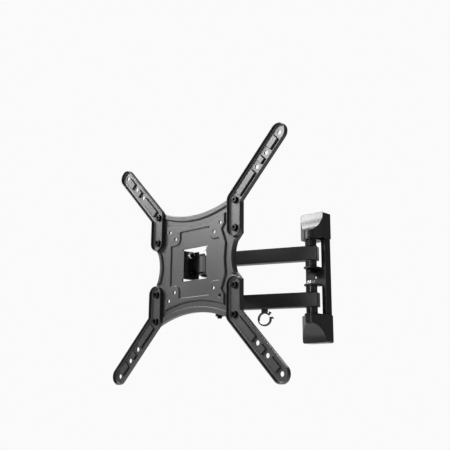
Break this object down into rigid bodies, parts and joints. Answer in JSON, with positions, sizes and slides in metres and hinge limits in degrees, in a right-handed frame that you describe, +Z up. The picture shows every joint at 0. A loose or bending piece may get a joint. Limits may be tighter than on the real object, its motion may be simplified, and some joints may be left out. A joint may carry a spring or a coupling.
{
  "type": "full motion tv wall mount",
  "caption": "Television wall mount: wall bracket, folding double arm with swivel and tilt head, and a pressed centre plate with four slanting extension arms.",
  "frame": {"origin": "centre of the wall fixing holes, on the wall plane", "axes": "+Y into the wall, +Z up, +X to the right seen from the room"},
  "size_m": [0.432, 0.2996, 0.432],
  "materials": {
    "plate_grey": "satin powder coat, dark grey",
    "frame_black": "satin powder coat, black",
    "black_steel": "black oxide, semi-gloss",
    "zinc_steel": "bright zinc plate",
    "cover_plastic": "satin black moulding",
    "cap_plastic": "matt black moulding",
    "bushing_plastic": "glossy black nylon",
    "clip_plastic": "smooth black nylon"
  },
  "bodies": {
    "wall_bracket": {"wall_plate": "frame_black", "top_cover": "cover_plastic", "bottom_cover": "cover_plastic", "wall_pivot_bolts": "zinc_steel", "wall_pivot_nuts": "black_steel"},
    "rear_arm": {"rear_tube_upper": "frame_black", "rear_tube_lower": "frame_black", "rear_tube_caps": "cap_plastic", "pivot_bushings": "bushing_plastic", "cable_clip": "clip_plastic", "elbow_spacers": "bushing_plastic", "elbow_washers": "black_steel", "elbow_bolt": "black_steel", "elbow_nut": "black_steel"},
    "front_arm": {"front_tube": "frame_black", "front_tube_cap": "cap_plastic", "swivel_barrel": "plate_grey", "swivel_bushings": "bushing_plastic"},
    "swivel_head": {"swivel_bracket": "frame_black", "swivel_bolt": "black_steel", "swivel_nut": "black_steel", "tilt_lock_bolts": "black_steel", "tilt_lock_nuts": "black_steel"},
    "tv_bracket": {"tv_plate": "plate_grey", "tilt_pivot_bolts": "black_steel", "tilt_pivot_nuts": "zinc_steel", "extension_arm_top_left": "plate_grey", "extension_arm_top_right": "plate_grey", "extension_arm_bottom_left": "plate_grey", "extension_arm_bottom_right": "plate_grey", "arm_screws": "black_steel", "arm_nuts": "black_steel"}
  },
  "joints": [
    {"name": "wall_pivot", "type": "hinge", "parent": "wall_bracket", "child": "rear_arm", "pos_m": [0, -0.0308, 0], "axis": [0, 0, 1], "range_deg": [-5, 40]},
    {"name": "elbow", "type": "hinge", "parent": "rear_arm", "child": "front_arm", "pos_m": [-0.18721, -0.10117, 0], "axis": [0, 0, 1], "range_deg": [-75, 5]},
    {"name": "swivel", "type": "hinge", "parent": "front_arm", "child": "swivel_head", "pos_m": [-0.06853, -0.26215, 0], "axis": [0, 0, 1], "range_deg": [-8, 60]},
    {"name": "tilt", "type": "hinge", "parent": "swivel_head", "child": "tv_bracket", "pos_m": [-0.06853, -0.28015, 0.018], "axis": [1, 0, 0], "range_deg": [-5, 12]}
  ]
}
